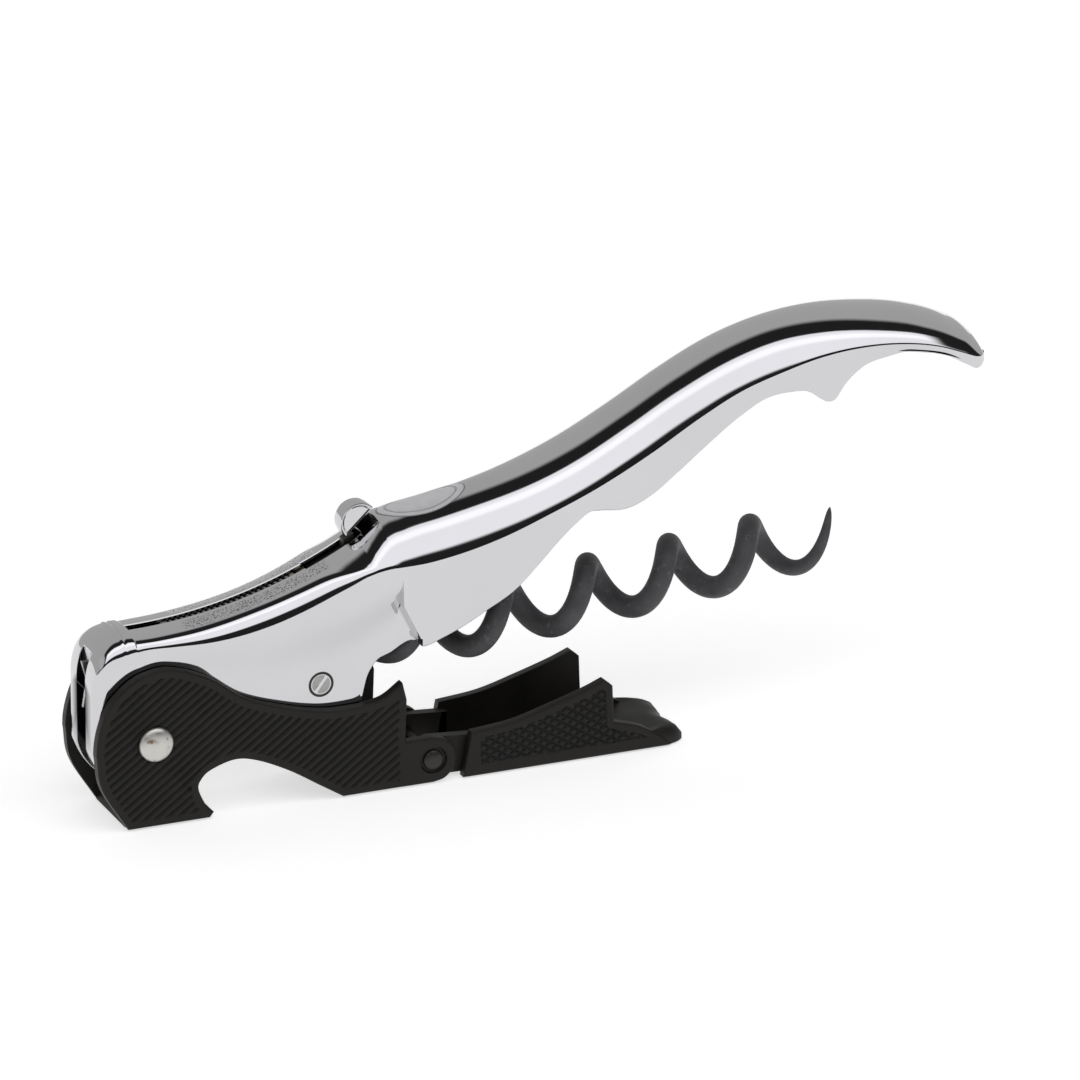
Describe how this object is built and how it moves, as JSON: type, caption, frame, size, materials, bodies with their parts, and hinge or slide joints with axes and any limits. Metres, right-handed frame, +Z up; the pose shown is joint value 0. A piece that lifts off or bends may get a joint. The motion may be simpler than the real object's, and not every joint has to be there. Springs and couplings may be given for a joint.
{
  "type": "lever corkscrew",
  "caption": "Pocket corkscrew with a chrome casting, folding spiral worm, hinged two-step black lever with cap opener, and a sprung foil knife.",
  "frame": {"origin": "on the ground, under the lever rivet, in the middle of the width, on the flat underside of the first arm's opener hook", "axes": "+X along the ground from the head towards the handle's tail, +Y across the width to the far side, +Z up"},
  "size_m": [0.1086, 0.0128, 0.0483],
  "materials": {
    "chrome_casting": "mirror polished",
    "black_coated_steel": "satin black coating",
    "nonstick_worm": "matte dark grey non-stick coating",
    "rivet_steel": "lightly worn steel",
    "dark_steel": "blackened steel",
    "spring_steel": "bright drawn wire",
    "brass_seat": "pale turned brass"
  },
  "bodies": {
    "casting": {"body_casting": "chrome_casting", "badge_plate": "chrome_casting", "lever_rivet": "rivet_steel", "worm_pin": "rivet_steel", "return_spring": "spring_steel"},
    "lever_first": {"first_arm": "black_coated_steel", "second_arm_pin": "dark_steel"},
    "lever_second": {"second_arm": "black_coated_steel"},
    "worm_body": {"worm": "nonstick_worm"},
    "knife": {"knife_blade": "rivet_steel", "knife_carrier": "dark_steel", "knife_rivet_front": "rivet_steel", "knife_rivet_rear": "rivet_steel", "thumb_tab": "chrome_casting", "spring_seat": "brass_seat"}
  },
  "joints": [
    {"name": "lever_swing", "type": "hinge", "parent": "casting", "child": "lever_first", "pos_m": [0, 0, 0.0099], "axis": [0, 1, 0], "range_deg": [-10, 95]},
    {"name": "second_arm_fold", "type": "hinge", "parent": "lever_first", "child": "lever_second", "pos_m": [0.0333, 0, 0.0027], "axis": [0, 1, 0], "range_deg": [0, 90]},
    {"name": "worm_fold", "type": "hinge", "parent": "casting", "child": "worm_body", "pos_m": [0.0203, 0, 0.0134], "axis": [0, 1, 0], "range_deg": [-16.5, 3]},
    {"name": "knife_slide", "type": "hinge", "parent": "casting", "child": "knife", "pos_m": [-0.0015, 0, 0.0785], "axis": [0, 1, 0], "range_deg": [0, 12], "stiffness_Nm_per_rad": 0.48, "springref_deg": -10.14, "deforming": ["return_spring"]}
  ]
}
